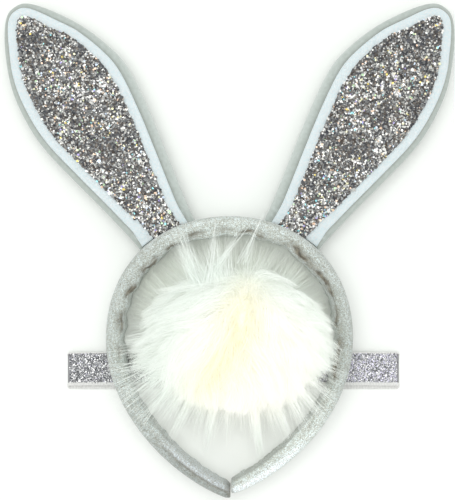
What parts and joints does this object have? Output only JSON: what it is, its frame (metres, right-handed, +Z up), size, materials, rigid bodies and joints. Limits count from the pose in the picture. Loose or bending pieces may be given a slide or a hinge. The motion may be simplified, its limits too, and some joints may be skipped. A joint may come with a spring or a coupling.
{
  "type": "animal ears headband",
  "caption": "Padded velvet hoop with two tilting rabbit ears faced in glitter, laid over a matching faux fur ball tail on a folded elastic loop.",
  "frame": {"origin": "the middle of the area that the whole set covers, on the surface that it lies on", "axes": "+Z up from the surface, +Y from the hoop's tips to the ears' tips, +X towards the right ear as seen from above"},
  "size_m": [0.2162, 0.2366, 0.066],
  "materials": {
    "velvet": "short grey velvet pile with a pale sheen",
    "lining": "matte velvet tape",
    "foam": "matte foam wadding",
    "hoop_plastic": "moulded plastic, satin",
    "wire": "bare steel wire",
    "plush_trim": "pale blue-white brushed plush",
    "glitter_sheet": "chunky silver and charcoal glitter",
    "fur": "long white faux fur",
    "fibrefill": "loose polyester filling",
    "felt": "white felt",
    "thread": "spun thread",
    "glitter_elastic": "fine silver glitter weave",
    "white_elastic": "woven white elastic"
  },
  "bodies": {
    "tail": {"elastic_back": "white_elastic", "elastic_front": "glitter_elastic", "elastic_lap_join": "white_elastic", "elastic_left_fold": "glitter_elastic", "elastic_right_fold": "glitter_elastic", "tail_felt_disc": "felt", "tail_left_tack": "thread", "tail_right_tack": "thread", "tail_fur": "fur", "tail_stuffing": "fibrefill", "tail_gather": "thread"},
    "crown": {"crown_core": "hoop_plastic", "crown_padding": "foam", "crown_sleeve": "velvet", "crown_lining": "lining", "left_ear_anchor": "velvet", "right_ear_anchor": "velvet"},
    "left_arm": {"left_arm_core": "hoop_plastic", "left_arm_padding": "foam", "left_arm_sleeve": "velvet", "left_arm_lining": "lining", "left_tip_cap": "velvet"},
    "right_arm": {"right_arm_core": "hoop_plastic", "right_arm_padding": "foam", "right_arm_sleeve": "velvet", "right_arm_lining": "lining", "right_tip_cap": "velvet"},
    "left_ear": {"left_ear_back": "velvet", "left_ear_front": "velvet", "left_ear_padding": "foam", "left_ear_wire": "wire", "left_ear_trim": "plush_trim", "left_ear_glitter": "glitter_sheet"},
    "right_ear": {"right_ear_back": "velvet", "right_ear_front": "velvet", "right_ear_padding": "foam", "right_ear_wire": "wire", "right_ear_trim": "plush_trim", "right_ear_glitter": "glitter_sheet"}
  },
  "joints": [
    {"name": "headband_lift", "type": "slide", "parent": "tail", "child": "crown", "axis": [0, 0, 1], "range_m": [0, 0.1]},
    {"name": "left_arm_flex", "type": "hinge", "parent": "crown", "child": "left_arm", "pos_m": [-0.0449, -0.01435, 0.0125], "axis": [0, 0, -1], "range_deg": [0, 25], "stiffness_Nm_per_rad": 0.35},
    {"name": "right_arm_flex", "type": "hinge", "parent": "crown", "child": "right_arm", "pos_m": [0.0449, -0.01435, 0.0125], "axis": [0, 0, 1], "range_deg": [0, 25], "stiffness_Nm_per_rad": 0.35},
    {"name": "left_ear_tilt", "type": "hinge", "parent": "crown", "child": "left_ear", "pos_m": [-0.03361, 0.00862, 0.01155], "axis": [0.8643, 0.503, 0], "range_deg": [-4, 45]},
    {"name": "right_ear_tilt", "type": "hinge", "parent": "crown", "child": "right_ear", "pos_m": [0.03361, 0.00862, 0.01155], "axis": [0.8643, -0.503, 0], "range_deg": [-4, 45]}
  ]
}
